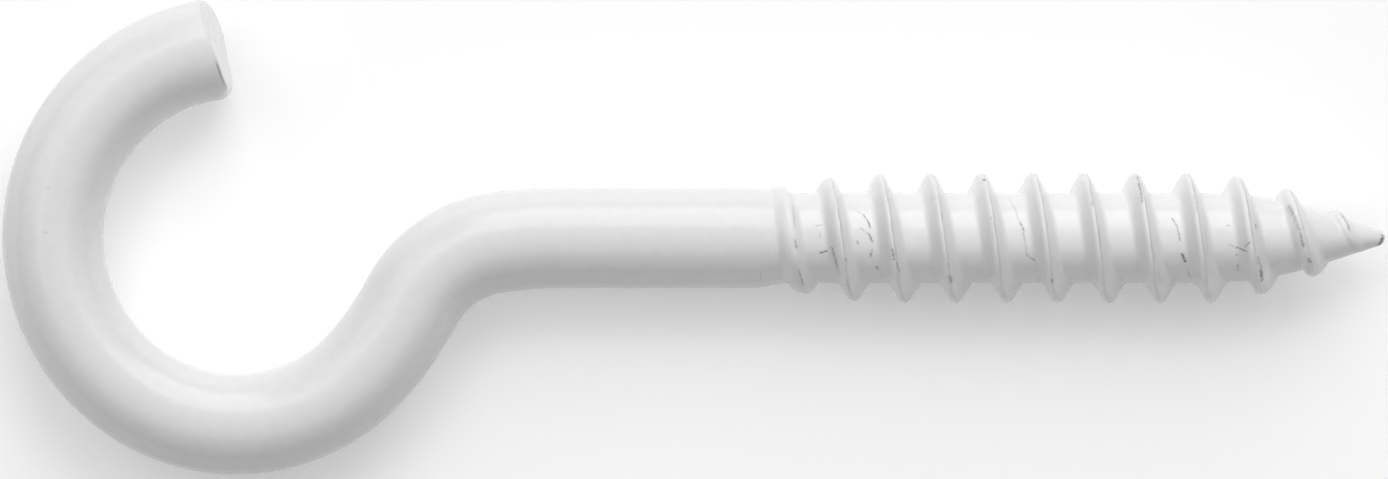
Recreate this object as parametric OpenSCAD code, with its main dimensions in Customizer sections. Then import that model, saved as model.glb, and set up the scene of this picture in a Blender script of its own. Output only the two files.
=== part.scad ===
// Screw hook for ceilings and beams: one length of round steel wire, bent to a round open hook
// at one end, and turned down, threaded and pointed as a wood screw at the other, then coated.
// The thread's axis is the X axis and its point lies toward +X. The hook lies flat in the XY
// plane. The origin is on that axis, at the shoulder where the plain shank ends.

/* [Wire] */
// Diameter of the coated wire
wire_d = 5.85; // [4.6:0.05:7]
// Straight shank from the shoulder back to the first bend
shank_len = 11.05; // [3:0.05:60]

/* [Neck] */
// Centreline radius of the slow curve in which the shank leaves its line
ease_r = 26; // [16:0.5:60]
// Angle of that slow curve
ease_turn = 8.5; // [3:0.1:16]
// Centreline radius of the neck bend
neck_r = 6.55; // [4.5:0.05:12]
// Angle of the neck bend
neck_turn = 53.5; // [40:0.1:70]

/* [Hook] */
// Centreline radius of the slack curve between the neck and the bowl
sway_r = 19; // [12:0.5:40]
// Angle of the slack curve
sway_turn = 13.4; // [5:0.1:25]
// Centreline radius of the bowl, the half of the hook that carries the load
bowl_r = 10.2; // [7:0.05:20]
// Angle of the bowl
bowl_turn = 76.8; // [60:0.1:95]
// Centreline radius of the nose, the half of the hook that ends at the mouth
nose_r = 10.97; // [7:0.01:20]
// Angle of the nose
nose_turn = 140.7; // [110:0.1:160]

/* [Cut end] */
// Straight end past the nose, measured along the wire's centre to the cut
end_len = 0.8; // [0.8:0.05:6]
// Angle in the hook's plane by which the cut leans over the mouth
cut_skew = 5; // [0:0.5:8]
// Angle by which the cut leans up out of the hook's plane
cut_tilt = 7.5; // [0:0.5:8]
// Rounding of the cut's rim
rim_r = 0.45; // [0.2:0.05:0.9]

/* [Thread] */
// Length from the shoulder to the end of the point
thread_len = 36.6; // [24:0.1:60]
// Outside diameter of the thread, over its crests
thread_d = 7.41; // [6.6:0.01:8.4]
// Diameter of the core between the crests
root_d = 5.25; // [4.4:0.01:5.6]
// Advance of the thread in one turn
pitch = 2.943; // [2.5:0.001:4]
// Angle between a flank of the thread and a plane across the axis
flank_angle = 30; // [20:1:35]
// Rounding of the crest
crest_r = 0.36; // [0.2:0.01:0.5]
// Rounding of the foot of each flank
foot_r = 0.26; // [0.1:0.01:0.4]
// Distance from the shoulder to the first crest on the hook's open side
first_crest = 1.52; // [0.5:0.01:2.5]
// Length over which the shank narrows to the core
shoulder_len = 1.9; // [0.8:0.1:4]
// Length from the shoulder over which the thread rises to its full height
run_in = 6; // [3:0.1:12]

/* [Point] */
// Half of the point's cone angle
point_angle = 19; // [15:0.5:28]
// Radius of the blunt end of the point
point_r = 0.48; // [0.3:0.02:0.8]
// Depth of the curve that blends the cone of the point into the core
point_blend = 1.6; // [0.3:0.1:2.2]
// Distance from the end of the point at which the thread starts to sink
fade_start = 9.8; // [6:0.1:14]
// Distance from the end of the point at which the thread is gone
fade_end = 2; // [1.2:0.1:4]
// How long the sinking thread keeps its height: lower values keep it longer
fade_power = 0.45; // [0.3:0.05:1]

/* [Quality] */
// Most facets that the threaded end may have
thread_facets = 10500; // [7000:500:11500]

/* [Hidden] */

wire_fn = 64;
wire_r = wire_d / 2;
core_r = root_d / 2;
ridge_h = thread_d / 2 - core_r;

// Two lengths of wire end this far short of their joint, inside a ball that stands this much
// proud of them
joint_gap = 0.01;
joint_proud = 0.005;

// The shank ends in a small bevel, and the thread's body comes out of it from this far inside
// the shank's surface and behind the shoulder
bevel = 0.25;
inset = 0.03;
bury = 0.3;

// One tooth of the thread, as [distance along the axis from its crest, height in parts of the
// ridge]: a round crest, straight flanks and a filleted foot, given for the side past the crest
crest_arc = [20, 90 - flank_angle];
foot_arc = [90 - flank_angle, 45 - flank_angle / 2, 0];
crest_w = crest_r * cos(flank_angle);
crest_drop = crest_r * (1 - sin(flank_angle));
foot_w = foot_r * cos(flank_angle);
foot_rise = foot_r * (1 - sin(flank_angle));
tooth_w = crest_w + foot_w + (ridge_h - crest_drop - foot_rise) * tan(flank_angle);
tooth_side = concat(
    [for (a = crest_arc) [crest_r * sin(a), ridge_h - crest_r * (1 - cos(a))]],
    [for (a = foot_arc) [tooth_w - foot_r * sin(a), foot_r * (1 - cos(a))]]
);
side_count = len(tooth_side);
tooth = concat(
    [for (i = [side_count - 1 : -1 : 0]) [-tooth_side[i][0], tooth_side[i][1] / ridge_h]],
    [for (p = tooth_side) [p[0], p[1] / ridge_h]]
);
tooth_count = len(tooth);

// Turns of the thread count from the first crest. They start behind the shoulder, and past the
// end of the thread they crowd together toward the end of the point
end_turn = (thread_len - fade_end - first_crest) / pitch;
first_turn = floor((tooth_w - bury - first_crest) / pitch) - 1;
last_turn = ceil(end_turn) + 2;
row_count = (last_turn - first_turn) * tooth_count;
step_count = min(40, 2 * floor(thread_facets / (4 * row_count)));

function turn_x(turn) =
    turn < end_turn
    ? first_crest + pitch * turn
    : thread_len - fade_end * exp((end_turn - turn) * pitch / fade_end);

// A soft lower limit of two values, which curves from one to the other over the depth k
function soft_min(a, b, k) = min(a, b) - pow(max(k - abs(a - b), 0) / k, 2) * k / 4;

function ease(t) = (1 - cos(180 * min(max(t, 0), 1))) / 2;

// Radius of the point at the distance d from its end: a ball, then a cone tangent to it
cone_start = point_r * (1 - sin(point_angle));
function point_radius(d) =
    d < cone_start
    ? sqrt(max(point_r * point_r - pow(point_r - d, 2), 0))
    : point_r * cos(point_angle) + (d - cone_start) * tan(point_angle);

// Radius of the body under the thread, at the distance x from the shoulder
function body_radius(x) =
    soft_min(
        wire_r - inset + (core_r - wire_r + inset) * ease(x / shoulder_len),
        point_radius(thread_len - x),
        min(point_blend, 2 * point_radius(thread_len - x))
    );

// Height of the crest above the body, in millimetres
function crest_height(x) =
    ridge_h
    * min(max(x / run_in, 0), 1)
    * pow(min(max((thread_len - fade_end - x) / (fade_start - fade_end), 0), 1), fade_power);

// One point of the threaded surface: row k follows one line of the tooth round and along
function thread_point(k, step) =
    let (
        part = tooth[k % tooth_count],
        turn = first_turn + floor(k / tooth_count) + part[0] / pitch + step / step_count,
        x = turn_x(turn),
        r = body_radius(x) + crest_height(x) * part[1],
        a = 360 * step / step_count
    )
    [x, r * cos(a), r * sin(a)];

// Index of a point. A row that has gone round once meets the same row of the next turn
function thread_index(k, step) =
    step < step_count ? k * step_count + step : (k + tooth_count) * step_count + step - step_count;

// The last turn's rows only close the surface, so they hold their first point alone
function seam_index(i) = row_count * step_count + i;
function point_index(k, step) =
    let (index = thread_index(k, step))
    index < row_count * step_count ? index : seam_index(floor(index / step_count) - row_count);

module threaded_end() {
    rows = [for (k = [0 : row_count - 1], step = [0 : step_count - 1]) thread_point(k, step)];
    seam = [for (i = [0 : tooth_count - 1]) thread_point(row_count + i, 0)];
    start_centre = len(rows) + len(seam);
    end_centre = start_centre + 1;
    points = concat(rows, seam, [[turn_x(first_turn), 0, 0], [thread_len, 0, 0]]);

    skin = [
        for (k = [0 : row_count - 2], step = [0 : step_count - 1])
        let (
            a = point_index(k, step),
            b = point_index(k, step + 1),
            c = point_index(k + 1, step + 1),
            d = point_index(k + 1, step)
        )
        each [[a, c, b], [a, d, c]]
    ];
    start_turn = [
        for (step = [0 : step_count - 1])
        [start_centre, point_index(0, step), point_index(0, step + 1)]
    ];
    start_seam = [
        for (k = [0 : tooth_count - 1])
        [start_centre, point_index(k + 1, 0), point_index(k, 0)]
    ];
    last = row_count - 1;
    end_turn_fan = [
        for (step = [0 : step_count - 1])
        [end_centre, point_index(last, step + 1), point_index(last, step)]
    ];
    end_seam = [
        for (k = [last : last + tooth_count - 1])
        [end_centre, point_index(k, 0), point_index(k + 1, 0)]
    ];
    polyhedron(points, concat(skin, start_turn, start_seam, end_turn_fan, end_seam));
}

// Straight shank, from the first bend to its bevelled end past the shoulder
module shank() {
    start = joint_gap - shank_len;
    rotate([0, 90, 0])
    rotate_extrude($fn = wire_fn)
    polygon([[0, start], [wire_r, start], [wire_r, 0], [wire_r - bevel, bevel], [0, bevel]]);
}

// Ball that joins two lengths of wire at the origin, turned so that its poles lie inside them
module joint() {
    rotate([0, 90, 0]) sphere(r = wire_r + joint_proud, $fn = wire_fn);
}

// Wire that leaves the origin along +X and bends by an angle, to the left if it is positive
module bend(r, turn) {
    side = sign(turn);
    gap_turn = joint_gap / r * 180 / PI;
    joint();
    translate([0, side * r, 0])
    rotate([0, 0, min(turn, 0) - side * 90 + gap_turn])
    rotate_extrude(angle = abs(turn) - 2 * gap_turn, $fn = 4 * wire_fn)
    translate([r, 0]) circle(r = wire_r, $fn = wire_fn);
}

// Carries what follows to the far end of such a bend
module past_bend(r, turn) {
    side = sign(turn);
    translate([0, side * r, 0]) rotate([0, 0, turn]) translate([0, -side * r, 0]) children();
}

// The cut end: a short straight, cropped at a lean, with its rim rounded by the coating
module cut_end() {
    flare = 35;
    back = 2 * end_len + wire_d;
    arc_steps = 6;
    face_r = wire_r / cos(max(cut_skew, cut_tilt)) - rim_r;
    rim = [
        for (i = [0 : arc_steps])
        let (a = 90 - (90 - flare) * i / arc_steps)
        [face_r + rim_r * cos(a), rim_r * (sin(a) - 1)]
    ];
    corner = rim[arc_steps];
    profile = concat([[0, 0]], rim, [[corner[0] + back * tan(flare), corner[1] - back], [0, corner[1] - back]]);
    intersection() {
        union() {
            joint();
            translate([joint_gap, 0, 0])
            rotate([0, 90, 0])
            cylinder(r = wire_r, h = end_len + wire_d, $fn = wire_fn);
        }
        translate([end_len, 0, 0])
        rotate([0, -cut_tilt, cut_skew])
        rotate([0, 90, 0])
        rotate_extrude($fn = wire_fn) polygon(profile);
    }
}

// The bent end, from the shank back to the cut
module bent_end() {
    translate([-shank_len, 0, 0]) rotate([0, 0, 180]) {
        bend(ease_r, ease_turn);
        past_bend(ease_r, ease_turn) {
            bend(neck_r, neck_turn);
            past_bend(neck_r, neck_turn) {
                bend(sway_r, -sway_turn);
                past_bend(sway_r, -sway_turn) {
                    bend(bowl_r, -bowl_turn);
                    past_bend(bowl_r, -bowl_turn) {
                        bend(nose_r, -nose_turn);
                        past_bend(nose_r, -nose_turn) cut_end();
                    }
                }
            }
        }
    }
}

module screw_hook() {
    color("#eceeed") {
        bent_end();
        shank();
        threaded_end();
    }
}

screw_hook();
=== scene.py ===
from math import cos, pi, radians, sin

import bpy
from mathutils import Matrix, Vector


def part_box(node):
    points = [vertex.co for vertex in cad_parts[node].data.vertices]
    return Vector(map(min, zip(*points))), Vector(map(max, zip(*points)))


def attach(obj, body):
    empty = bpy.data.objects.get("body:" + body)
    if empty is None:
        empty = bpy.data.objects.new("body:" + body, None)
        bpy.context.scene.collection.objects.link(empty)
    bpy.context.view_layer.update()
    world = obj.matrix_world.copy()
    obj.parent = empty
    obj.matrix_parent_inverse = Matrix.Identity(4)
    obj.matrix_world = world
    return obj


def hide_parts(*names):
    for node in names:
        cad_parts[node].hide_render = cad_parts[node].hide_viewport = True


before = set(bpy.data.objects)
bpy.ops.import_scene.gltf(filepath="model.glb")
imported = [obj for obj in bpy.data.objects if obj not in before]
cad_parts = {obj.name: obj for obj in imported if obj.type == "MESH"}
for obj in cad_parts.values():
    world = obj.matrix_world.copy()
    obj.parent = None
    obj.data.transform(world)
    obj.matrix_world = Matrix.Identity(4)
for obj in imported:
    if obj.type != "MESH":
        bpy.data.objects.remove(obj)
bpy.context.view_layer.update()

# ---------------------------------------------------------------------------------------------
# Bent wire: one length of round steel wire, drawn, cropped and bent cold round pins into an
# open hook. Each bend rolls the rest of the wire round its own pin, from the cut end back to
# the shank, and the crop leaves a leaning face with a soft rim.

MM = 0.001
AROUND = 120  # faces round the wire, shared by the wire and the thread that is cut on it
JOIN_X = -1.0 * MM  # ring in the plain shank where the bent wire and the thread meet
WELD = 0.001 * MM  # corners closer than this become one

wire_sizes = {
    "Wire diameter": 5.85 * MM,
    "Start": -JOIN_X,
    "Shank length": 11.05 * MM,
    "Ease radius": 26 * MM,
    "Ease turn": radians(8.5),
    "Neck radius": 6.55 * MM,
    "Neck turn": radians(53.5),
    "Sway radius": 19 * MM,
    "Sway turn": radians(13.4),
    "Bowl radius": 10.2 * MM,
    "Bowl turn": radians(76.8),
    "Nose radius": 10.97 * MM,
    "Nose turn": radians(140.7),
    "End length": 0.8 * MM,
    "Cut lean in the hook's plane": radians(5),
    "Cut lean upward": radians(7.5),
    "Rim radius": 0.62 * MM,
    "Crisp rim radius": 0.12 * MM,
    "Length that the crop bends": 3.51 * MM,
    "Crop swelling": 0.1 * MM,
    "Lip length": 0.5 * MM,
    "Crease from the end": 0.12 * MM,
    "Crease half width": 0.13 * MM,
    "Crease depth": 0.04 * MM,
    "Face unevenness": 0.08 * MM,
}
BENDS = [("Ease", -1), ("Neck", -1), ("Sway", 1), ("Bowl", 1), ("Nose", 1)]


def add(tree, kind, settings, inputs=()):
    """Adds one node and gives its inputs, in order or by name.

    A node or a socket is linked, a value is set, and None leaves an input as it is.
    """
    node = tree.nodes.new(kind)
    for name, value in settings.items():
        setattr(node, name, value)
    for key, value in inputs.items() if isinstance(inputs, dict) else enumerate(inputs):
        if isinstance(value, bpy.types.Node):
            value = value.outputs[0]
        if isinstance(value, bpy.types.NodeSocket):
            tree.links.new(value, node.inputs[key])
        elif value is not None:
            node.inputs[key].default_value = value
    return node


def new_tree(name, kind, inputs, outputs):
    """A node tree with named inputs, as (name, socket type), and the node that holds them."""
    tree = bpy.data.node_groups.new(name, kind)
    for side, sockets in (("INPUT", inputs), ("OUTPUT", outputs)):
        for label, socket_type in sockets:
            tree.interface.new_socket(name=label, in_out=side, socket_type=socket_type)
    return tree, tree.nodes.new("NodeGroupInput").outputs


FLOAT, VECTOR, GEOMETRY = "NodeSocketFloat", "NodeSocketVector", "NodeSocketGeometry"
MATH, VECTOR_MATH = "ShaderNodeMath", "ShaderNodeVectorMath"
MAP_RANGE, NOISE = "ShaderNodeMapRange", "ShaderNodeTexNoise"
COMBINE, SEPARATE = "ShaderNodeCombineXYZ", "ShaderNodeSeparateXYZ"
SMOOTHLY = {"interpolation_type": "SMOOTHSTEP"}
ADD, SUBTRACT, MULTIPLY, DIVIDE = [
    {"operation": name} for name in ("ADD", "SUBTRACT", "MULTIPLY", "DIVIDE")
]
MULTIPLY_ADD, POWER, ABSOLUTE, MAXIMUM, MINIMUM = [
    {"operation": name} for name in ("MULTIPLY_ADD", "POWER", "ABSOLUTE", "MAXIMUM", "MINIMUM")
]
SINE, COSINE, TANGENT = [{"operation": name} for name in ("SINE", "COSINE", "TANGENT")]

# One bend: what lies past its start moves up by the length that goes into the bend, and then
# turns about the pin. Side is -1 for a pin below the wire and 1 for a pin above it.
roll, given = new_tree(
    "roll_round_pin",
    "GeometryNodeTree",
    [("Position", VECTOR)] + [(name, FLOAT) for name in ("Wire length", "Start", "Radius", "Turn", "Side")],
    [("Position", VECTOR)],
)
used = add(roll, MATH, MULTIPLY, [given["Radius"], given["Turn"]])
past = add(roll, MATH, SUBTRACT, [given["Wire length"], given["Start"]])
taken = add(roll, "ShaderNodeClamp", {}, [past, 0.0, used])
shift = add(roll, COMBINE, {}, [taken])
moved = add(roll, VECTOR_MATH, ADD, [given["Position"], shift])
pin_x = add(roll, MATH, MULTIPLY, [given["Start"], -1.0])
pin_y = add(roll, MATH, MULTIPLY, [given["Radius"], given["Side"]])
pin = add(roll, COMBINE, {}, [pin_x, pin_y])
angle = add(roll, MATH, DIVIDE, [taken, given["Radius"]])
toward = add(roll, MATH, MULTIPLY, [given["Side"], -1.0])
signed = add(roll, MATH, MULTIPLY, [angle, toward])
turned = add(roll, "ShaderNodeVectorRotate", {"rotation_type": "Z_AXIS"}, [moved, pin, None, signed])
add(roll, "NodeGroupOutput", {}, [turned])

# The wire starts as a grid of rings along a straight line. The rings lie closest on the lip, the
# last of the side, and are followed by the rim and the face of the cut end.
WIRE_ROWS, LIP_ROWS, RIM_ROWS, FACE_ROWS = 200, 14, 8, 14
LIP_END = WIRE_ROWS + LIP_ROWS
RIM_END = LIP_END + RIM_ROWS
ROWS = RIM_END + FACE_ROWS
wire_tree, size = new_tree(
    "bent_wire",
    "GeometryNodeTree",
    [("Geometry", GEOMETRY)] + [(name, FLOAT) for name in wire_sizes] + [("Coating", "NodeSocketMaterial")],
    [("Geometry", GEOMETRY)],
)
t = wire_tree
grid = add(t, "GeometryNodeMeshGrid", {}, [1.0, 1.0, ROWS + 1, AROUND + 1])
place = add(t, SEPARATE, {}, [add(t, "GeometryNodeInputPosition", {})])
row = add(t, MATH, MULTIPLY_ADD, [place.outputs[0], float(ROWS), ROWS / 2])
round_angle = add(t, MATH, MULTIPLY_ADD, [place.outputs[1], 2 * pi, pi])
wire_r = add(t, MATH, MULTIPLY, [size["Wire diameter"], 0.5])

# Where each bend starts, measured along the wire from the thread's shoulder.
starts, reach = [], size["Shank length"]
for name, _ in BENDS:
    starts.append(reach)
    bend_length = add(t, MATH, MULTIPLY, [size[name + " radius"], size[name + " turn"]])
    reach = add(t, MATH, ADD, [reach, bend_length])
wire_end = add(t, MATH, ADD, [reach, size["End length"]])

# Places across the wire run from -1 on the hook's outside, over 0 above and below, to 1 on its
# inside. The rim is crisp above and below and soft at the two sides, more so on the inside.
RIM_POWER, RIM_INWARD = 4.0, 0.45
across = add(t, MATH, COSINE, [round_angle])
upward = add(t, MATH, SINE, [round_angle])
aside = add(t, MATH, POWER, [add(t, MATH, ABSOLUTE, [across]), RIM_POWER])
softer = add(t, MATH, MULTIPLY_ADD, [across, RIM_INWARD, 1.0])
aside = add(t, MATH, MULTIPLY, [aside, softer])
extra_r = add(t, MATH, SUBTRACT, [size["Rim radius"], size["Crisp rim radius"]])
rim_r = add(t, MATH, MULTIPLY_ADD, [aside, extra_r, size["Crisp rim radius"]])
rim_start = add(t, MATH, SUBTRACT, [wire_end, rim_r])

lip_start = add(t, MATH, SUBTRACT, [rim_start, size["Lip length"]])
to_lip = add(t, MAP_RANGE, {}, [row, 0.0, float(WIRE_ROWS), size["Start"], lip_start])
on_lip = add(t, MAP_RANGE, {}, [row, float(WIRE_ROWS), float(LIP_END), 0.0, size["Lip length"]])
to_rim = add(t, MATH, ADD, [to_lip, on_lip])
along_rim = add(t, MAP_RANGE, {}, [row, float(LIP_END), float(RIM_END), 0.0, pi / 2])
over_face = add(t, MAP_RANGE, {}, [row, float(RIM_END), float(ROWS), 1.0, 0.0])
rim_out = add(t, MATH, MULTIPLY, [add(t, MATH, SINE, [along_rim]), rim_r])
length = add(t, MATH, ADD, [to_rim, rim_out])
rim_in = add(t, MATH, MULTIPLY_ADD, [add(t, MATH, COSINE, [along_rim]), -1.0, 1.0])
rim_drop = add(t, MATH, MULTIPLY, [rim_in, rim_r])

# The blade has folded a fine crease along the lip, deep toward the hook's inside and faint on its
# outside. The pairs are the places across the wire between which it comes in or goes out.
CREASE_IN, CREASE_OUT, CREASE_STRENGTH = (0.24, 0.38), (0.78, 0.95), 1.5
FAINT_OUT, FAINT_STRENGTH = (-0.5, -0.1), 0.5
crease_place = add(t, MATH, SUBTRACT, [wire_end, size["Crease from the end"]])
from_crease = add(t, MATH, ABSOLUTE, [add(t, MATH, SUBTRACT, [length, crease_place])])
crease = add(t, MAP_RANGE, SMOOTHLY, [from_crease, 0.0, size["Crease half width"], 1.0, 0.0])
opening = add(t, MAP_RANGE, SMOOTHLY, [across, *CREASE_IN, 0.0, CREASE_STRENGTH])
closing = add(t, MAP_RANGE, SMOOTHLY, [across, *CREASE_OUT, 1.0, 0.0])
faint = add(t, MAP_RANGE, SMOOTHLY, [across, *FAINT_OUT, FAINT_STRENGTH, 0.0])
deep = add(t, MATH, MULTIPLY_ADD, [opening, closing, faint])
crease = add(t, MATH, MULTIPLY, [crease, deep])
crease = add(t, MATH, MULTIPLY, [crease, add(t, MATH, COSINE, [along_rim])])
ring_r = add(t, MATH, SUBTRACT, [wire_r, rim_drop])
ring_r = add(t, MATH, SUBTRACT, [ring_r, add(t, MATH, MULTIPLY, [crease, size["Crease depth"]])])
ring_r = add(t, MATH, MULTIPLY, [ring_r, over_face])
side_y = add(t, MATH, MULTIPLY, [ring_r, across])
side_z = add(t, MATH, MULTIPLY, [ring_r, upward])

# The crop pushes the last of the wire out a little on the hook's inside, and leaves its face
# leaning, so the last rings lean too. The upward lean is less on the inside.
LEAN_CHANGES, LEAN_OUTSIDE, LEAN_INSIDE = (-0.45, 0.3), 1.02, 0.56
last_part = add(t, MATH, SUBTRACT, [wire_end, size["Length that the crop bends"]])
nearing = add(t, MAP_RANGE, SMOOTHLY, [length, last_part, wire_end, 0.0, 1.0])
inside = add(t, MATH, MAXIMUM, [across, 0.0])
swelling = add(t, MATH, MULTIPLY, [add(t, MATH, MULTIPLY, [inside, nearing]), size["Crop swelling"]])
side_y = add(t, MATH, ADD, [side_y, swelling])
lean_y = add(t, MATH, TANGENT, [size["Cut lean in the hook's plane"]])
lean_z = add(t, MATH, TANGENT, [size["Cut lean upward"]])
sheared = add(t, MAP_RANGE, SMOOTHLY, [across, *LEAN_CHANGES, LEAN_OUTSIDE, LEAN_INSIDE])
lean_z = add(t, MATH, MULTIPLY, [lean_z, sheared])
leaning = add(t, MATH, MULTIPLY, [side_z, lean_z])
leaning = add(t, MATH, MULTIPLY_ADD, [side_y, lean_y, add(t, MATH, MULTIPLY, [leaning, -1.0])])
leaning = add(t, MATH, MULTIPLY, [leaning, nearing])

# The face is a little uneven where the wire broke through, and level at its rim.
TORN_GRAIN = MM / 0.9
LEVELS_FROM = 0.7  # share of the face's radius, past which it grows level toward the rim
on_face = add(t, COMBINE, {}, [side_y, side_z])
torn = add(t, NOISE, {}, {"Vector": on_face, "Scale": 1 / TORN_GRAIN, "Detail": 2.0})
torn = add(t, MATH, SUBTRACT, [torn, 0.5])
inward = add(t, MAP_RANGE, {}, [over_face, 1.0, LEVELS_FROM, 0.0, size["Face unevenness"]])
torn = add(t, MATH, MULTIPLY, [torn, inward])
leaning = add(t, MATH, ADD, [leaning, torn])
back = add(t, MATH, MULTIPLY, [add(t, MATH, ADD, [length, leaning]), -1.0])
position = add(t, COMBINE, {}, [back, side_y, side_z])

for (name, side), start in reversed(list(zip(BENDS, starts))):
    position = add(
        t, "GeometryNodeGroup", {"node_tree": roll},
        [position, length, start, size[name + " radius"], size[name + " turn"], float(side)],
    )
# The crease is kept as the seam attribute, from which the coating paints shade into it.
creased = add(
    t, "GeometryNodeStoreNamedAttribute", {"data_type": "FLOAT", "domain": "POINT"},
    {"Geometry": grid, "Name": "seam", "Value": crease},
)
placed = add(t, "GeometryNodeSetPosition", {}, {"Geometry": creased, "Position": position})
welded = add(t, "GeometryNodeMergeByDistance", {}, {"Geometry": placed, "Distance": WELD})
solid = add(t, "GeometryNodeRealizeInstances", {}, [welded])
coated = add(t, "GeometryNodeSetMaterial", {}, {"Geometry": solid, "Material": size["Coating"]})
add(t, "NodeGroupOutput", {}, [coated])

# ---------------------------------------------------------------------------------------------
# Thread and point: a right-hand wood-screw thread, rolled into the other end of the same wire.
# Its core is thinner than the shank and its crests stand wider. The crest line rises out of
# the shoulder over two turns, and curves in to the blunt point at the end.

thread_sizes = {
    "Wire diameter": wire_sizes["Wire diameter"],
    "Join": JOIN_X,
    "Thread length": 36.6 * MM,
    "Thread diameter": 7.40 * MM,
    "Core diameter": 5.242 * MM,
    "Pitch": 2.957 * MM,
    "First crest": 1.42 * MM,
    "Flank angle": radians(30.5),
    "Crest radius": 0.356 * MM,
    "Crest widening at the shoulder": 2.0,
    "Crest widening at the point": 1.1,
    "Foot fillet": 0.16 * MM,
    "Fillet widening at the shoulder": 1.2,
    "Shoulder length": 2 * MM,
    "First rise": 0.12 * MM,
    "Run-in length": 5.5 * MM,
    "Crest line's curve to the point": 10 * MM,
    "Crest line's power": 1.8,
    "Crest line's blend": 0.3 * MM,
    "Point half angle": radians(18),
    "Point radius": 0.48 * MM,
    "Point blend": 1.6 * MM,
    "Crest unevenness": 0.05 * MM,
    "Out of round": 0.09 * MM,
    "Shift of the last crest": 0.17 * MM,
    "Slimmer toward the mouth": 0.25,
    "Seam from the crest": 0.04 * MM,
    "Seam half width": 0.085 * MM,
    "Seam depth": 0.04 * MM,
    "Seam wander": 0.08 * MM,
    "Flank set in": 0.22 * MM,
}
ROWS_A_TURN = 32
FIRST_TURN, LAST_TURN = -2.0, 13.25
TIP_LENGTH, TIP_TURNS = 2 * MM, 2.0  # the last rows crowd together over this length of the point
CLOSING = 0.003 * MM  # the rows closer to the end than this meet in its middle
TURNS = LAST_TURN - FIRST_TURN
DRAWN_TO_CREST = 0.7  # share by which the rows crowd together at the crest

# Distances at which a form is nothing, and from which it is whole: past the shoulder as it comes
# in, and before the end of the point as it goes out.
COMES_IN = {"oval": (6 * MM, 11 * MM), "seam": (2 * MM, 5 * MM), "set in": (0.0, 5 * MM)}
GOES_OUT = {"oval": (8 * MM, 10.5 * MM), "seam": (2 * MM, 5 * MM), "set in": (4 * MM, 7 * MM)}


def along_thread(form, name):
    """A form of the thread that comes in past the shoulder and goes out before the end."""
    for place, (nothing, whole) in ((x, COMES_IN[name]), (to_tip, GOES_OUT[name])):
        share = add(thread_tree, MAP_RANGE, {}, [place, nothing, whole, 0.0, 1.0])
        form = add(thread_tree, MATH, MULTIPLY, [form, share])
    return form


thread_tree, size = new_tree(
    "wood_screw_thread",
    "GeometryNodeTree",
    [("Geometry", GEOMETRY)] + [(name, FLOAT) for name in thread_sizes] + [("Coating", "NodeSocketMaterial")],
    [("Geometry", GEOMETRY)],
)
t = thread_tree
grid = add(t, "GeometryNodeMeshGrid", {}, [1.0, 1.0, round(TURNS * ROWS_A_TURN) + 1, AROUND + 1])
place = add(t, SEPARATE, {}, [add(t, "GeometryNodeInputPosition", {})])
row = add(t, MATH, MULTIPLY_ADD, [place.outputs[0], TURNS, FIRST_TURN + TURNS / 2])
part_turn = add(t, MATH, ADD, [place.outputs[1], 0.5])
round_angle = add(t, MATH, MULTIPLY, [part_turn, 2 * pi])

# The rows run along the thread. They lie closer together at the crest than in the gap.
wave = add(t, MATH, SINE, [add(t, MATH, MULTIPLY, [row, 2 * pi])])
lag = add(t, MATH, MULTIPLY, [wave, DRAWN_TO_CREST / (2 * pi)])
drawn = add(t, MATH, SUBTRACT, [row, lag])
turn = add(t, MATH, ADD, [drawn, part_turn])
past_crest = add(t, MATH, SUBTRACT, [drawn, add(t, MATH, {"operation": "ROUND"}, [row])])
past_crest = add(t, MATH, MULTIPLY, [past_crest, size["Pitch"]])

# Distance along the axis, with the rows drawn together toward the end of the point.
straight_x = add(t, MATH, MULTIPLY_ADD, [turn, size["Pitch"], size["First crest"]])
tip_x = add(t, MATH, SUBTRACT, [size["Thread length"], TIP_LENGTH])
tip_turn = add(t, MATH, DIVIDE, [add(t, MATH, SUBTRACT, [straight_x, tip_x]), size["Pitch"]])
left = add(t, MAP_RANGE, {}, [tip_turn, 0.0, TIP_TURNS, 1.0, 0.0])
crowding = add(t, MATH, MULTIPLY, [size["Pitch"], TIP_TURNS / TIP_LENGTH])
left = add(t, MATH, MULTIPLY, [add(t, MATH, POWER, [left, crowding]), TIP_LENGTH])
left = add(t, MATH, MULTIPLY, [left, add(t, MATH, {"operation": "GREATER_THAN"}, [left, CLOSING])])
crowded_x = add(t, MATH, SUBTRACT, [size["Thread length"], left])
x = add(t, MATH, MINIMUM, [straight_x, crowded_x])
x = add(t, MATH, MAXIMUM, [x, size["Join"]])
to_tip = add(t, MATH, SUBTRACT, [size["Thread length"], x])

# Body: the shank narrows to the core over the shoulder, and the core runs into the point's
# cone, which ends in a small ball.
wire_r = add(t, MATH, MULTIPLY, [size["Wire diameter"], 0.5])
core_r = add(t, MATH, MULTIPLY, [size["Core diameter"], 0.5])
core = add(t, MAP_RANGE, SMOOTHLY, [x, 0.0, size["Shoulder length"], wire_r, core_r])
cone_sine = add(t, MATH, SINE, [size["Point half angle"]])
ball_length = add(t, MATH, MULTIPLY, [size["Point radius"], add(t, MATH, SUBTRACT, [1.0, cone_sine])])
in_ball = add(t, MATH, MINIMUM, [to_tip, ball_length])
ball_offset = add(t, MATH, SUBTRACT, [size["Point radius"], in_ball])
squares = add(t, MATH, MULTIPLY, [size["Point radius"], size["Point radius"]])
squares = add(t, MATH, SUBTRACT, [squares, add(t, MATH, MULTIPLY, [ball_offset, ball_offset])])
ball_r = add(t, MATH, {"operation": "SQRT"}, [add(t, MATH, MAXIMUM, [squares, 0.0])])
in_cone = add(t, MATH, SUBTRACT, [to_tip, in_ball])
cone_slope = add(t, MATH, TANGENT, [size["Point half angle"]])
point_r = add(t, MATH, MULTIPLY_ADD, [in_cone, cone_slope, ball_r])
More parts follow.
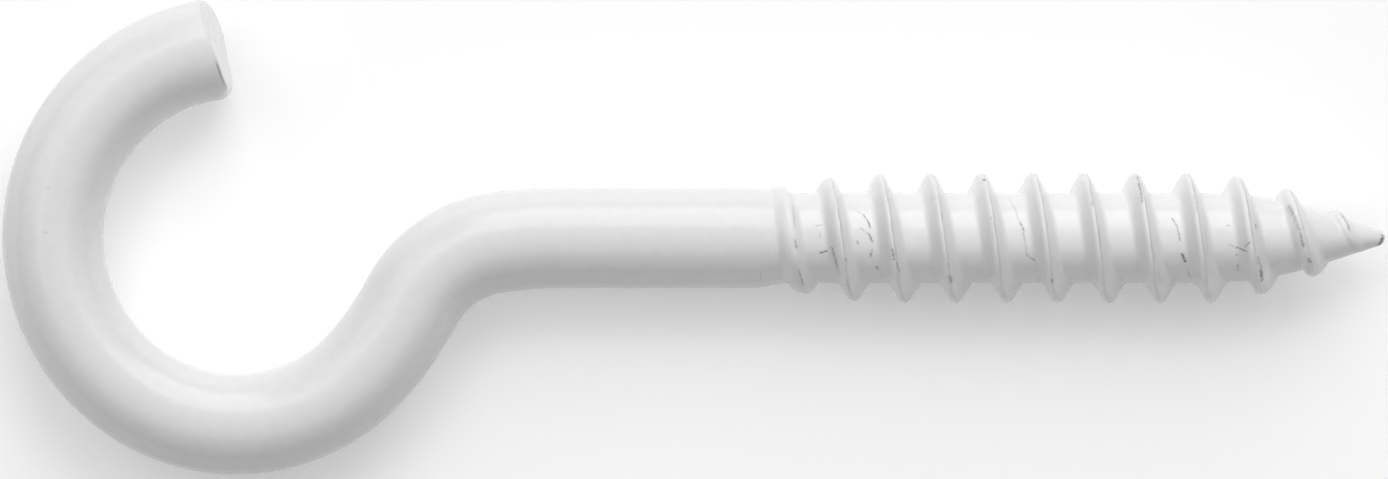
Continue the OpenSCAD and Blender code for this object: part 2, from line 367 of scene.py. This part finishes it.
body = add(t, MATH, {"operation": "SMOOTH_MIN"}, [core, point_r, size["Point blend"]])

# Crest line: it rises over the run-in, runs level, and curves in to the point.
thread_r = add(t, MATH, MULTIPLY, [size["Thread diameter"], 0.5])
risen = add(t, MATH, DIVIDE, [x, size["Run-in length"]])
low_crest = add(t, MATH, ADD, [core_r, size["First rise"]])
rise = add(t, MATH, SUBTRACT, [thread_r, low_crest])
rising = add(t, MATH, MULTIPLY_ADD, [risen, rise, low_crest])
near_tip = add(t, MAP_RANGE, {}, [to_tip, 0.0, size["Crest line's curve to the point"], 1.0, 0.0])
curve_in = add(t, MATH, POWER, [near_tip, size["Crest line's power"]])
sinking = add(t, MATH, MULTIPLY, [thread_r, add(t, MATH, SUBTRACT, [1.0, curve_in])])
blend = size["Crest line's blend"]
crest_line = add(t, MATH, {"operation": "SMOOTH_MIN"}, [rising, sinking, blend])

# The full turns stand a hair higher in the hook's plane than across it, where the solid's box
# leaves them no room. Places across the thread run from -1, on the side away from the mouth, over
# 0 above and below, to 1 on the mouth's side, where the flanks are steeper.
across = add(t, MATH, COSINE, [round_angle])
upward = add(t, MATH, SINE, [round_angle])
oval = add(t, MATH, MULTIPLY, [add(t, MATH, MULTIPLY, [across, across]), size["Out of round"]])
crest_line = add(t, MATH, ADD, [crest_line, along_thread(oval, "oval")])
toward_mouth = add(t, MATH, MAXIMUM, [across, 0.0])
toward_mouth = add(t, MATH, MULTIPLY, [toward_mouth, toward_mouth])
slimmer = add(t, MATH, MULTIPLY_ADD, [toward_mouth, size["Slimmer toward the mouth"], 1.0])

# The last crest on the side away from the mouth stands a little nearer the end of the point. The
# pairs are the places between which this goes from whole to nothing.
SHIFT_BEFORE_END, SHIFT_ACROSS = (5.5 * MM, 8 * MM), (-0.3, 0.7)
last_shift = size["Shift of the last crest"]
shifted = add(t, MAP_RANGE, SMOOTHLY, [to_tip, *SHIFT_BEFORE_END, last_shift, 0.0])
away = add(t, MAP_RANGE, {}, [across, *SHIFT_ACROSS, 1.0, 0.0])
shifted = add(t, MATH, MULTIPLY, [shifted, away])
past_crest = add(t, MATH, SUBTRACT, [past_crest, shifted])

# Rolling folds the metal over at the crest. A fine seam wanders along it, in patches, and is
# faint on the side away from the mouth. On the two broad sides, above and below, the flank past
# it stands in a little. Both are lost at the two ends of the thread.
SEAM_PATCHES, FAINT_BETWEEN = (0.4, 0.58), 0.4
SEAM_AWAY, FAINT_AWAY = (-0.85, -0.4), 0.2
SET_IN_STEP, BROAD_SIDES = (-0.05 * MM, 0.03 * MM), (0.25, 0.85)
# These two patterns are laid out in thread radii: patches of 1.4 mm, and ripples of 0.3 mm.
PATCHES_A_RADIUS, RIPPLES_A_RADIUS = 2.6, 11.0
around = add(t, COMBINE, {}, [add(t, MATH, DIVIDE, [x, thread_r]), across, upward])
rolled = add(t, NOISE, {}, {"Vector": around, "Scale": PATCHES_A_RADIUS, "Detail": 3.0, "Roughness": 0.6})
wander = add(t, NOISE, {}, {"Vector": around, "Scale": RIPPLES_A_RADIUS, "Detail": 2.0})
wander = add(t, MATH, MULTIPLY_ADD, [wander, 2.0, -1.0])
seam_place = add(t, MATH, MULTIPLY_ADD, [wander, size["Seam wander"], size["Seam from the crest"]])
past_seam = add(t, MATH, SUBTRACT, [past_crest, seam_place])
from_seam = add(t, MATH, ABSOLUTE, [past_seam])
seam = add(t, MAP_RANGE, SMOOTHLY, [from_seam, 0.0, size["Seam half width"], 1.0, 0.0])
in_patches = add(t, MAP_RANGE, {}, [rolled, *SEAM_PATCHES, FAINT_BETWEEN, 1.0])
seam = add(t, MATH, MULTIPLY, [seam, in_patches])
seam = add(t, MATH, MULTIPLY, [seam, add(t, MAP_RANGE, {}, [across, *SEAM_AWAY, FAINT_AWAY, 1.0])])
seam = along_thread(seam, "seam")
set_in = add(t, MAP_RANGE, SMOOTHLY, [past_seam, *SET_IN_STEP, 0.0, size["Flank set in"]])
broad = add(t, MATH, ABSOLUTE, [upward])
broad = add(t, MAP_RANGE, SMOOTHLY, [broad, *BROAD_SIDES, 0.0, 1.0])
set_in = along_thread(add(t, MATH, MULTIPLY, [set_in, broad]), "set in")
from_crest = add(t, MATH, ABSOLUTE, [past_crest])
from_crest = add(t, MATH, MULTIPLY_ADD, [from_crest, slimmer, set_in])

# Tooth: a round crest, straight flanks and a soft foot. The first turns and those on the point
# have a wider crest, and the first ones a softer foot too.
flank_cosine = add(t, MATH, COSINE, [size["Flank angle"]])
flank_tangent = add(t, MATH, TANGENT, [size["Flank angle"]])
near_start = add(t, MAP_RANGE, {}, [x, size["First crest"], size["Run-in length"], 1.0, 0.0])
wider = add(t, MATH, MULTIPLY_ADD, [near_start, size["Crest widening at the shoulder"], 1.0])
wider = add(t, MATH, MULTIPLY_ADD, [near_tip, size["Crest widening at the point"], wider])
crest_r = add(t, MATH, MULTIPLY, [size["Crest radius"], wider])
crest_half = add(t, MATH, MULTIPLY, [crest_r, flank_cosine])
on_crest = add(t, MATH, MINIMUM, [from_crest, crest_half])
crest_square = add(t, MATH, MULTIPLY, [crest_r, crest_r])
on_square = add(t, MATH, MULTIPLY, [on_crest, on_crest])
crest_arc = add(t, MATH, {"operation": "SQRT"}, [add(t, MATH, SUBTRACT, [crest_square, on_square])])
round_drop = add(t, MATH, SUBTRACT, [crest_r, crest_arc])
down_flank = add(t, MATH, DIVIDE, [add(t, MATH, SUBTRACT, [from_crest, on_crest]), flank_tangent])
drop = add(t, MATH, ADD, [round_drop, down_flank])
uneven = add(t, MATH, MULTIPLY, [rolled, size["Crest unevenness"]])
crest_line = add(t, MATH, SUBTRACT, [crest_line, uneven])
flank = add(t, MATH, SUBTRACT, [crest_line, drop])
fillet = add(t, MAP_RANGE, {}, [to_tip, 0.0, TIP_LENGTH, 0.0, size["Foot fillet"]])
soften = add(t, MATH, MULTIPLY_ADD, [near_start, size["Fillet widening at the shoulder"], 1.0])
fillet = add(t, MATH, MULTIPLY, [fillet, soften])
fillet = add(t, MATH, MULTIPLY, [fillet, add(t, MAP_RANGE, {}, [x, size["Join"], 0.0, 0.0, 1.0])])
radius = add(t, MATH, {"operation": "SMOOTH_MAX"}, [body, flank, fillet])
radius = add(t, MATH, SUBTRACT, [radius, add(t, MATH, MULTIPLY, [seam, size["Seam depth"]])])
y = add(t, MATH, MULTIPLY, [radius, across])
z = add(t, MATH, MULTIPLY, [radius, upward])
# The seam is kept as an attribute too, from which the coating paints shade into it.
marked = add(
    t, "GeometryNodeStoreNamedAttribute", {"data_type": "FLOAT", "domain": "POINT"},
    {"Geometry": grid, "Name": "seam", "Value": seam},
)
position = add(t, COMBINE, {}, [x, y, z])
threaded = add(t, "GeometryNodeSetPosition", {}, {"Geometry": marked, "Position": position})
joined = add(t, "GeometryNodeJoinGeometry", {}, [size["Geometry"]])
t.links.new(add(t, "GeometryNodeFlipFaces", {}, [threaded]).outputs[0], joined.inputs[0])
welded = add(t, "GeometryNodeMergeByDistance", {}, {"Geometry": joined, "Distance": WELD})
smooth = add(t, "GeometryNodeSetShadeSmooth", {}, [welded])
solid = add(t, "GeometryNodeRealizeInstances", {}, [smooth])
coated = add(t, "GeometryNodeSetMaterial", {}, {"Geometry": solid, "Material": size["Coating"]})
add(t, "NodeGroupOutput", {}, [coated])

# ---------------------------------------------------------------------------------------------
# White coating: a thin film of gloss polyamide, dipped on to the warm hook and fused. It gives
# the eye clear, slightly uneven lights on a near white that is a hair greyer where the film is thin,
# painted shade in the crest's seam and in the creases of the cut end, and small dark chips on the
# thread, where it was rubbed or knocked off.


def linear(hex_colour):
    """An sRGB hex colour as linear light, with alpha 1."""
    parts = [int(hex_colour[i : i + 2], 16) / 255 for i in (1, 3, 5)]
    return [p / 12.92 if p <= 0.04045 else ((p + 0.055) / 1.055) ** 2.4 for p in parts] + [1.0]


# One mark in the film: a stroke between two places, darkest in its middle and gone a little past
# its width. Where marks meet, the darker one shows, and the later one is bent by a hair. All in
# millimetres.
SOFT_EDGE, BEND = 1.6, 0.01
stroke, given = new_tree(
    "mark_in_film",
    "ShaderNodeTree",
    [
        ("Marks so far", FLOAT),
        ("Place", VECTOR),
        ("From", VECTOR),
        ("To", VECTOR),
        ("Half width", FLOAT),
        ("Depth", FLOAT),
    ],
    [("Marks", FLOAT)],
)
run = add(stroke, VECTOR_MATH, SUBTRACT, [given["To"], given["From"]])
bent = add(stroke, VECTOR_MATH, MULTIPLY_ADD, [given["Marks so far"], (BEND, BEND, 0.0), given["Place"]])
off = add(stroke, VECTOR_MATH, SUBTRACT, [bent, given["From"]])
along = add(stroke, VECTOR_MATH, {"operation": "DOT_PRODUCT"}, [off, run]).outputs["Value"]
whole = add(stroke, VECTOR_MATH, {"operation": "DOT_PRODUCT"}, [run, run]).outputs["Value"]
share = add(stroke, MATH, {"operation": "DIVIDE", "use_clamp": True}, [along, whole])
foot = add(stroke, VECTOR_MATH, {"operation": "SCALE"}, {"Vector": run, "Scale": share})
apart = add(stroke, VECTOR_MATH, {"operation": "DISTANCE"}, [off, foot]).outputs["Value"]
outer = add(stroke, MATH, MULTIPLY, [given["Half width"], SOFT_EDGE])
mark = add(stroke, MAP_RANGE, SMOOTHLY, [apart, 0.0, outer, given["Depth"], 0.0])
add(stroke, "NodeGroupOutput", {}, [add(stroke, MATH, MAXIMUM, [given["Marks so far"], mark])])

coating = bpy.data.materials.new("white_polyamide_coating")
coating.use_nodes = True
m = coating.node_tree
m.nodes.clear()
place = add(m, "ShaderNodeTexCoord", {}).outputs["Object"]
in_mm = add(m, VECTOR_MATH, {"operation": "SCALE"}, {"Vector": place, "Scale": 1 / MM})
place = add(m, SEPARATE, {}, [in_mm])

# Waves a millimetre of three patterns: the marks' ragged edges, the breaks in the marks, and the
# film's unevenness.
RAGGED, BREAKS, UNEVEN = 3.2, 7.0, 1.6
RAGGED_BY = 0.22  # millimetres

# Places on the thread are unrolled: millimetres along the axis, and round it at the thread's
# mean radius. What lies below repeats what lies above, half a turn of the thread on.
MEAN_RADIUS = 3.1
PITCH = thread_sizes["Pitch"] / MM
around = add(m, MATH, {"operation": "ARCTAN2"}, [place.outputs["Z"], place.outputs["Y"]])
below = add(m, MATH, {"operation": "LESS_THAN"}, [around, 0.0])
around = add(m, MATH, MULTIPLY_ADD, [below, pi, around])
around = add(m, MATH, MULTIPLY, [around, MEAN_RADIUS])
axial = add(m, MATH, MULTIPLY_ADD, [below, -0.5 * PITCH, place.outputs["X"]])
unrolled = add(m, COMBINE, {}, [axial, around])
ragged = add(m, NOISE, {}, {"Vector": in_mm, "Scale": RAGGED, "Detail": 3.0, "Roughness": 0.65})
ragged = add(m, VECTOR_MATH, SUBTRACT, [ragged.outputs["Color"], (0.5, 0.5, 0.5)])
ragged = add(m, VECTOR_MATH, {"operation": "SCALE"}, {"Vector": ragged, "Scale": RAGGED_BY})
unrolled = add(m, VECTOR_MATH, ADD, [unrolled, ragged])

# Each mark: millimetres from the shoulder and degrees round the axis, at its start and its end,
# then half its width in millimetres and how dark it is.
MARKS = [
    (-40.95, 83.9, -40.60, 83.5, 0.05, 0.25),
    (-40.68, 44.7, -40.55, 45, 0.05, 0.3),
    (0.46, 132, 0.46, 147, 0.04, 0.35),
    (2.31, 53, 2.43, 77, 0.05, 0.35),
    (2.43, 93, 2.55, 101, 0.07, 0.7),
    (2.66, 127, 2.95, 150, 0.06, 0.5),
    (3.65, 74, 3.99, 73, 0.05, 0.5),
    (3.86, 84, 3.90, 90, 0.05, 0.3),
    (3.88, 109, 4.28, 107, 0.07, 0.9),
    (4.57, 101, 4.92, 126, 0.06, 0.7),
    (5.32, 110, 5.38, 112, 0.07, 0.7),
    (5.44, 130, 5.56, 146, 0.05, 0.4),
    (6.02, 95, 6.08, 97, 0.07, 0.7),
    (5.96, 53, 6.37, 59, 0.04, 0.35),
    (6.37, 59, 6.66, 69, 0.06, 0.7),
    (6.66, 69, 6.77, 77, 0.06, 0.7),
    (6.25, 78, 6.71, 86, 0.05, 0.5),
    (6.71, 86, 6.89, 95, 0.06, 0.7),
    (6.89, 105, 6.77, 114, 0.08, 0.6),
    (7.12, 129, 7.23, 134, 0.07, 0.7),
    (8.04, 101, 8.16, 109, 0.07, 0.8),
    (8.28, 113, 8.45, 124, 0.06, 0.6),
    (11.28, 113, 11.28, 117, 0.05, 0.5),
    (11.34, 127, 11.46, 134, 0.07, 0.8),
    (13.31, 24, 13.43, 28, 0.06, 0.7),
    (13.72, 70, 13.89, 94, 0.04, 0.35),
    (14.81, 30, 15.10, 48, 0.06, 0.2),
    (15.10, 48, 15.34, 67, 0.05, 0.35),
    (15.40, 70, 15.62, 81, 0.07, 0.6),
    (15.58, 84, 15.68, 93, 0.06, 0.45),
    (15.72, 96, 15.80, 111, 0.05, 0.35),
    (15.80, 111, 16.26, 120, 0.07, 0.5),
    (17.25, 130, 17.25, 133, 0.07, 0.7),
    (19.44, 36, 19.56, 60, 0.05, 0.5),
    (22.22, 20, 22.45, 56, 0.07, 0.6),
    (23.09, 108, 23.15, 110, 0.06, 0.5),
    (23.38, 126, 23.50, 139, 0.04, 0.35),
    (24.19, 65, 24.48, 75, 0.06, 0.6),
    (24.48, 75, 24.65, 93, 0.06, 0.6),
    (24.77, 111, 24.94, 121, 0.095, 0.95),
    (25.17, 139, 25.23, 148, 0.06, 0.6),
    (25.41, 49, 25.58, 66, 0.04, 0.35),
    (26.04, 81, 26.22, 108, 0.04, 0.3),
    (27.37, 74, 27.49, 74, 0.06, 0.4),
    (27.43, 98, 27.89, 103, 0.05, 0.5),
    (27.89, 103, 28.41, 104, 0.065, 0.8),
    (28.36, 99, 28.65, 94, 0.05, 0.6),
    (27.89, 111, 27.89, 114, 0.06, 0.5),
    (28.01, 127, 28.01, 138, 0.06, 0.5),
    (28.99, 74, 28.99, 78, 0.07, 0.6),
    (29.11, 110, 29.28, 123, 0.06, 0.6),
    (29.28, 126, 29.40, 140, 0.10, 0.9),
    (30.90, 44, 31.31, 65, 0.12, 0.45),
    (31.31, 65, 31.54, 81, 0.13, 0.5),
    (31.54, 81, 31.77, 101, 0.11, 0.6),
    (32.06, 120, 32.18, 126, 0.08, 0.7),
    (33.97, 22, 34.32, 46, 0.07, 0.6),
    (34.32, 46, 34.49, 70, 0.07, 0.6),
    (36.42, 55, 36.47, 90, 0.09, 0.6),
    (36.47, 90, 36.36, 123, 0.11, 0.85),
    (36.36, 123, 36.20, 152, 0.11, 0.85),
]
marks = 0.0
for start_x, start_turn, end_x, end_turn, half_width, depth in MARKS:
    start = (start_x, radians(start_turn) * MEAN_RADIUS, 0)
    end = (end_x, radians(end_turn) * MEAN_RADIUS, 0)
    values = [marks, unrolled, start, end, half_width, depth]
    marks = add(m, "ShaderNodeGroup", {"node_tree": stroke}, values)
broken = add(m, NOISE, {}, {"Vector": in_mm, "Scale": BREAKS, "Detail": 2.0})
BREAK_IN_NOISE, FAINT_IN_BREAK = (0.36, 0.56), 0.45
broken = add(m, MAP_RANGE, SMOOTHLY, [broken, *BREAK_IN_NOISE, FAINT_IN_BREAK, 1.0])
marks = add(m, MATH, MULTIPLY, [marks, broken])

# Painted shade: the colour darkens the crest's seam and the creases of the cut end, as shade that falls in
# their grooves.
SEAM_SHADE = 0.3
seam = add(m, "ShaderNodeAttribute", {"attribute_name": "seam"}).outputs["Fac"]
seam = add(m, MATH, MULTIPLY, [seam, SEAM_SHADE])
marks = add(m, MATH, MAXIMUM, [marks, seam])

# The film itself is a hair uneven, as it was fused and not polished.
peel = add(m, NOISE, {}, {"Vector": in_mm, "Scale": UNEVEN, "Detail": 2.0})
tone = add(m, MAP_RANGE, {}, [peel, 0.3, 0.7, 0.0, 1.0])
WHITE_THIN, WHITE_FULL, BARE_AND_SEAM_SHADE = linear("#ebebec"), linear("#eeeeef"), linear("#4d4f50")
white = add(m, "ShaderNodeMix", {"data_type": "RGBA"}, {0: tone, 6: WHITE_THIN, 7: WHITE_FULL})
white = white.outputs[2]
# Chips show bare steel, and the seam and the creases get painted shade, both in this dark grey.
nicked_and_seam_shaded = add(m, "ShaderNodeMix", {"data_type": "RGBA"}, {0: marks, 6: white, 7: BARE_AND_SEAM_SHADE})
PEEL_HEIGHT = 0.0025 * MM
bump = add(m, "ShaderNodeBump", {}, {"Strength": 1.0, "Distance": PEEL_HEIGHT, "Height": peel})
GLOSSY, CHIPPED = 0.22, 0.6
roughness = add(m, MAP_RANGE, {}, [marks, 0.0, 1.0, GLOSSY, CHIPPED])
shader = add(
    m, "ShaderNodeBsdfPrincipled", {},
    {"Base Color": nicked_and_seam_shaded.outputs[2], "Roughness": roughness, "IOR": 1.5, "Normal": bump},
)
add(m, "ShaderNodeOutputMaterial", {}, [shader])

hook = bpy.data.objects.new("coated_screw_hook", bpy.data.meshes.new("coated_screw_hook"))
bpy.context.scene.collection.objects.link(hook)
for tree, sizes in ((wire_tree, wire_sizes), (thread_tree, thread_sizes)):
    sizes["Coating"] = coating
    steps = hook.modifiers.new(tree.name, "NODES")
    steps.node_group = tree
    for socket in tree.interface.items_tree:
        if socket.in_out == "INPUT" and socket.name in sizes:
            steps[socket.identifier] = sizes[socket.name]
formed = bpy.data.meshes.new_from_object(hook.evaluated_get(bpy.context.evaluated_depsgraph_get()))
hook.modifiers.clear()
hook.data = formed

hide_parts("screw_hook")
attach(hook, "root")

# ---------------------------------------------------------------------------------------------
# Studio: a pale floor that the hook lies on, a softbox high over its open side, a wide weak one
# straight above, three white cards that fill the flanks, and a long lens straight above.

low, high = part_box("screw_hook")
middle = (low + high) / 2

# Matt paper, lit a little from behind: it gives the eye an even ground with a faint, soft shadow.
paper = bpy.data.materials.new("pale_matt_paper")
paper.use_nodes = True
p = paper.node_tree
p.nodes.clear()
matt = {"Base Color": linear("#fafafa"), "Roughness": 0.9}
glow = {"Emission Color": linear("#ffffff"), "Emission Strength": 0.17}
sheet = add(p, "ShaderNodeBsdfPrincipled", {}, {**matt, **glow})
add(p, "ShaderNodeOutputMaterial", {}, [sheet])
floor_mesh = bpy.data.meshes.new("studio_floor")
half = 2.5  # metres
corners = [(-half, -half), (half, -half), (half, half), (-half, half)]
floor_mesh.from_pydata([(cx, cy, low.z) for cx, cy in corners], [], [(0, 1, 2, 3)])
floor_mesh.materials.append(paper)
floor = bpy.data.objects.new("studio_floor", floor_mesh)
bpy.context.scene.collection.objects.link(floor)

# Each light: watts, degrees from straight above, degrees round from +X, then its distance, width
# and depth in metres.
for name, power, from_zenith, compass, distance, width, depth in (
    ("softbox_key", 1.9, 50, 80, 0.6, 0.5, 0.5),
    ("softbox_overhead", 4.2, 0, 90, 0.9, 1.3, 1.3),
    ("white_card_behind", 0.66, 45, 150, 0.6, 0.4, 0.5),
    ("white_card_before", 0.3, 45, 20, 0.6, 0.4, 0.5),
    ("white_card_low", 0.16, 70, 85, 0.6, 0.45, 0.36),
):
    lamp = bpy.data.lights.new(name, "AREA")
    lamp.shape = "RECTANGLE"
    lamp.size, lamp.size_y, lamp.energy = width, depth, power
    light = bpy.data.objects.new(name, lamp)
    tilt, turned = radians(from_zenith), radians(compass)
    toward = Vector((sin(tilt) * cos(turned), sin(tilt) * sin(turned), cos(tilt)))
    light.location = middle + toward * distance
    light.rotation_euler = toward.to_track_quat("Z", "Y").to_euler()
    light.visible_camera = False
    bpy.context.scene.collection.objects.link(light)

world = bpy.data.worlds.new("studio_air")
world.use_nodes = True
world.node_tree.nodes.clear()
air = add(world.node_tree, "ShaderNodeBackground", {}, {"Color": linear("#fbfcff"), "Strength": 0.04})
add(world.node_tree, "ShaderNodeOutputWorld", {}, [air])
bpy.context.scene.world = world
bpy.context.scene.view_settings.view_transform = "Standard"

lens = bpy.data.cameras.new("long_lens")
lens.lens, lens.sensor_width = 300, 36  # millimetres
camera = bpy.data.objects.new("long_lens", lens)
MARGIN, AIM_X, AIM_Y = 1.004, 0.02 * MM, -0.12 * MM
lens_height = (high.x - low.x) * MARGIN * lens.lens / lens.sensor_width
camera.location = (middle.x + AIM_X, middle.y + AIM_Y, lens_height)
bpy.context.scene.collection.objects.link(camera)
bpy.context.scene.camera = camera
